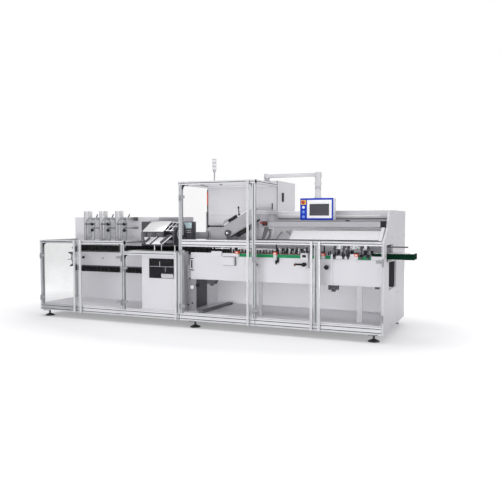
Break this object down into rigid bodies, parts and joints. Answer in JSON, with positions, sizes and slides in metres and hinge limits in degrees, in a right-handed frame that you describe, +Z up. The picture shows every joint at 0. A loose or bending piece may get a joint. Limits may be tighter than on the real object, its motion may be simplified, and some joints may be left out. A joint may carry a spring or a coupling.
{
  "type": "automatic cartoner",
  "caption": "Floor-standing packaging machine: bucket infeed with product magazines, leaflet folder, carton tower, guarded cartoning bed, green outfeed belts and a swinging operator panel.",
  "frame": {"origin": "on the floor, under the middle of the machine's box", "axes": "+X along the machine from the infeed to the outfeed, +Y from the operator's side to the back, +Z up"},
  "size_m": [4.775, 1.384, 2.047],
  "materials": {
    "dark_steel": "satin",
    "aluminium_profile": "satin",
    "tray_steel": "brushed",
    "black_plastic": "matte",
    "hinge_steel": "satin",
    "clear_panel": "clear",
    "light_grey_paint": "satin",
    "white_paint": "satin",
    "plate_grey": "satin",
    "bracket_grey": "satin",
    "stainless": "brushed",
    "dark_window": "tinted",
    "folder_dark": "satin",
    "green_plastic": "satin",
    "green_belt": "matte",
    "orange_plastic": "gloss",
    "motor_grey": "satin",
    "bright_bar": "polished",
    "hood_clear": "clear",
    "panel_blue": "satin",
    "screen_grey": "gloss",
    "lamp_white": "gloss"
  },
  "bodies": {
    "machine": {"levelling_feet": "dark_steel", "cross_rails": "aluminium_profile", "long_rails": "aluminium_profile", "floor_trays": "tray_steel", "guard_posts": "aluminium_profile", "profile_fittings": "black_plastic", "door_hinges": "hinge_steel", "fixed_panes": "clear_panel", "infeed_cabinet": "light_grey_paint", "lower_cabinet": "light_grey_paint", "rear_housing": "light_grey_paint", "tower_cabinet": "light_grey_paint", "end_panel": "light_grey_paint", "bucket_frame": "plate_grey", "bucket_chain": "black_plastic", "bucket_flights": "black_plastic", "support_brackets": "bracket_grey", "magazine_uprights": "white_paint", "magazine_chutes": "hood_clear", "magazine_clamps": "plate_grey", "hand_knobs": "black_plastic", "folder_housing": "light_grey_paint", "folder_window": "dark_window", "folder_table": "stainless", "leaflet_folder": "stainless", "folder_rollers": "folder_dark", "folder_backboard": "folder_dark", "bed_apron": "light_grey_paint", "bed_deck": "stainless", "closing_units": "black_plastic", "carton_chain": "black_plastic", "carton_lugs": "black_plastic", "guide_rails": "green_plastic", "position_indicators": "orange_plastic", "adjuster_boxes": "light_grey_paint", "drive_units": "motor_grey", "carton_magazine": "plate_grey", "carton_belt": "black_plastic", "hood_beam": "white_paint", "outfeed_belts": "green_belt", "outfeed_frames": "stainless", "stack_light": "lamp_white", "panel_arm_base": "bracket_grey"},
    "infeed_door_left": {"infeed_door_left": "clear_panel", "infeed_door_left_fittings": "bright_bar"},
    "infeed_door_right": {"infeed_door_right": "clear_panel", "infeed_door_right_fittings": "bright_bar"},
    "folder_door": {"folder_door": "clear_panel", "folder_door_fittings": "bright_bar"},
    "tower_door": {"tower_door": "clear_panel", "tower_door_fittings": "bright_bar"},
    "bed_door_left": {"bed_door_left": "clear_panel", "bed_door_left_fittings": "bright_bar"},
    "bed_door_right": {"bed_door_right": "clear_panel", "bed_door_right_fittings": "bright_bar"},
    "hood": {"hood": "hood_clear"},
    "panel_arm": {"panel_arm": "light_grey_paint"},
    "operator_panel": {"operator_panel": "panel_blue", "operator_screen": "screen_grey"},
    "crank": {"crank": "black_plastic"}
  },
  "joints": [
    {"name": "infeed_door_left_hinge", "type": "hinge", "parent": "machine", "child": "infeed_door_left", "pos_m": [-2.3675, -0.678, 0.5], "axis": [0, 0, -1], "range_deg": [0, 90]},
    {"name": "infeed_door_right_hinge", "type": "hinge", "parent": "machine", "child": "infeed_door_right", "pos_m": [-1.0885, -0.678, 0.5], "axis": [0, 0, 1], "range_deg": [0, 90]},
    {"name": "folder_door_hinge", "type": "hinge", "parent": "machine", "child": "folder_door", "pos_m": [-1.0665, -0.678, 0.5], "axis": [0, 0, -1], "range_deg": [0, 90]},
    {"name": "tower_door_hinge", "type": "hinge", "parent": "machine", "child": "tower_door", "pos_m": [-0.2575, -0.678, 0.9], "axis": [0, 0, -1], "range_deg": [0, 90]},
    {"name": "bed_door_left_hinge", "type": "hinge", "parent": "machine", "child": "bed_door_left", "pos_m": [0.6765, -0.678, 0.5], "axis": [0, 0, -1], "range_deg": [0, 90]},
    {"name": "bed_door_right_hinge", "type": "hinge", "parent": "machine", "child": "bed_door_right", "pos_m": [2.1025, -0.678, 0.5], "axis": [0, 0, 1], "range_deg": [0, 90]},
    {"name": "hood_hinge", "type": "hinge", "parent": "machine", "child": "hood", "pos_m": [1.3825, -0.47, 1.186], "axis": [-1, 0, 0], "range_deg": [0, 90]},
    {"name": "panel_arm_swing", "type": "hinge", "parent": "machine", "child": "panel_arm", "pos_m": [0.6765, -0.258, 1.76], "axis": [0, 0, 1], "range_deg": [-50, 0]},
    {"name": "operator_panel_swivel", "type": "hinge", "parent": "panel_arm", "child": "operator_panel", "pos_m": [1.2945, -0.258, 1.62], "axis": [0, 0, 1], "range_deg": [-60, 30]},
    {"name": "crank_turn", "type": "hinge", "parent": "machine", "child": "crank", "pos_m": [1.2385, -0.578, 0.78], "axis": [0, 1, 0], "continuous": true}
  ]
}
